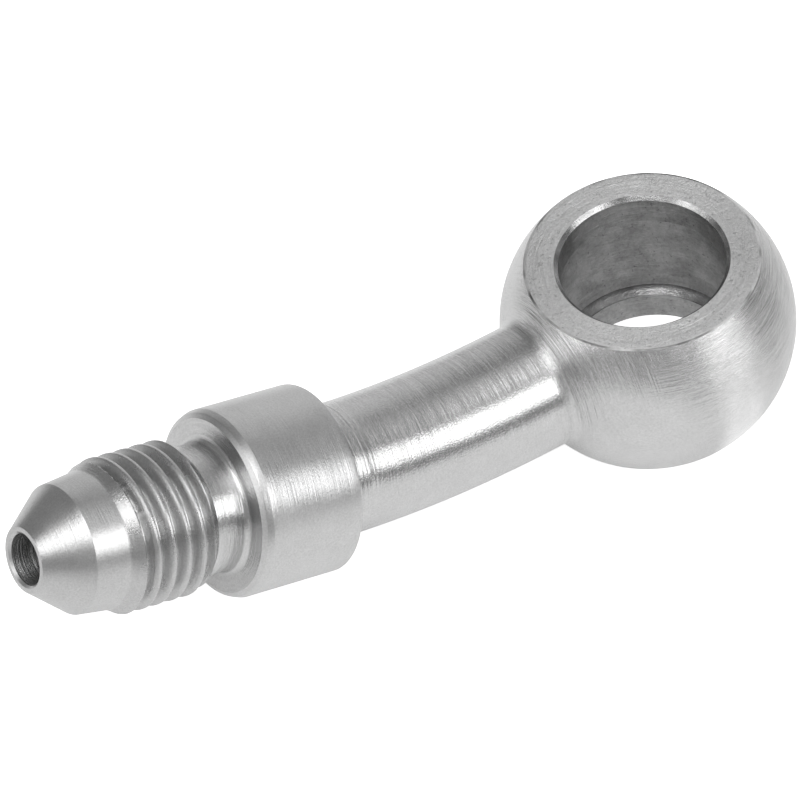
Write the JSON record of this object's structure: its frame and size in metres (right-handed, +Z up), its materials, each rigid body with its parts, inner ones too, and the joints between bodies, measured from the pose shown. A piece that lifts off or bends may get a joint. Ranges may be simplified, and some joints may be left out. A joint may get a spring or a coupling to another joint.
{
  "type": "banjo fitting",
  "caption": "Steel banjo hose fitting: flat-sided ball eye for a hollow bolt, bent neck, round collar and threaded male flare end with a sealing cone.",
  "frame": {"origin": "on the bench that the fitting lies on, under the middle of its box", "axes": "+Z up, +X from the eye towards the flare end, +Y across the fitting"},
  "size_m": [0.0546, 0.0184, 0.0134],
  "materials": {
    "steel": "satin, turned"
  },
  "bodies": {
    "root": {"banjo_fitting": "steel"}
  },
  "joints": []
}
